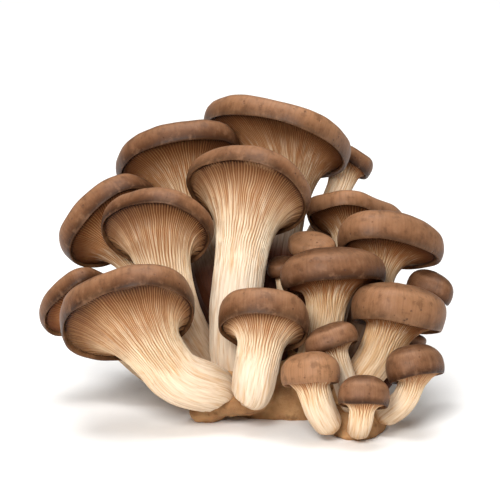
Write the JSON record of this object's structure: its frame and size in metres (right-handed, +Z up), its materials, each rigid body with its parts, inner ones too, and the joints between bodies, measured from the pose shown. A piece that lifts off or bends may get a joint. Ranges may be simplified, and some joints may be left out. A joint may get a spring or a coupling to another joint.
{
  "type": "oyster mushroom cluster",
  "caption": "Cluster of brown oyster mushrooms: broad caps with rolled margins, and cream stems with running gills, that grow from one cut butt.",
  "frame": {"origin": "a point in the butt's flat cut face, on the surface that the cluster stands on", "axes": "+Z up, +X to the right of the pictured side, +Y away from the camera"},
  "size_m": [0.1866, 0.1695, 0.1346],
  "materials": {
    "cap": "satin",
    "flesh": "matte",
    "butt": "matte"
  },
  "bodies": {
    "root": {"back_left_cap": "cap", "back_left_stem": "flesh", "back_low_left_cap": "cap", "back_low_left_stem": "flesh", "back_low_right_cap": "cap", "back_low_right_stem": "flesh", "back_right_cap": "cap", "back_right_stem": "flesh", "back_upper_cap": "cap", "back_upper_stem": "flesh", "butt": "butt", "centre_cap": "cap", "centre_stem": "flesh", "far_left_cap": "cap", "far_left_stem": "flesh", "front_centre_cap": "cap", "front_centre_stem": "flesh", "front_left_cap": "cap", "front_left_stem": "flesh", "inner_dark_cap": "cap", "inner_dark_stem": "flesh", "inner_tan_cap": "cap", "inner_tan_stem": "flesh", "left_cap": "cap", "left_centre_cap": "cap", "left_centre_stem": "flesh", "left_stem": "flesh", "low_behind_cap": "cap", "low_behind_stem": "flesh", "low_left_cap": "cap", "low_left_stem": "flesh", "low_middle_cap": "cap", "low_middle_stem": "flesh", "low_right_cap": "cap", "low_right_stem": "flesh", "right_back_cap": "cap", "right_back_stem": "flesh", "right_cap": "cap", "right_centre_cap": "cap", "right_centre_stem": "flesh", "right_edge_cap": "cap", "right_edge_stem": "flesh", "right_stem": "flesh", "right_upper_cap": "cap", "right_upper_stem": "flesh", "slim_front_cap": "cap", "slim_front_stem": "flesh", "top_behind_cap": "cap", "top_behind_stem": "flesh", "top_cap": "cap", "top_stem": "flesh", "upper_left_cap": "cap", "upper_left_stem": "flesh"}
  },
  "joints": []
}
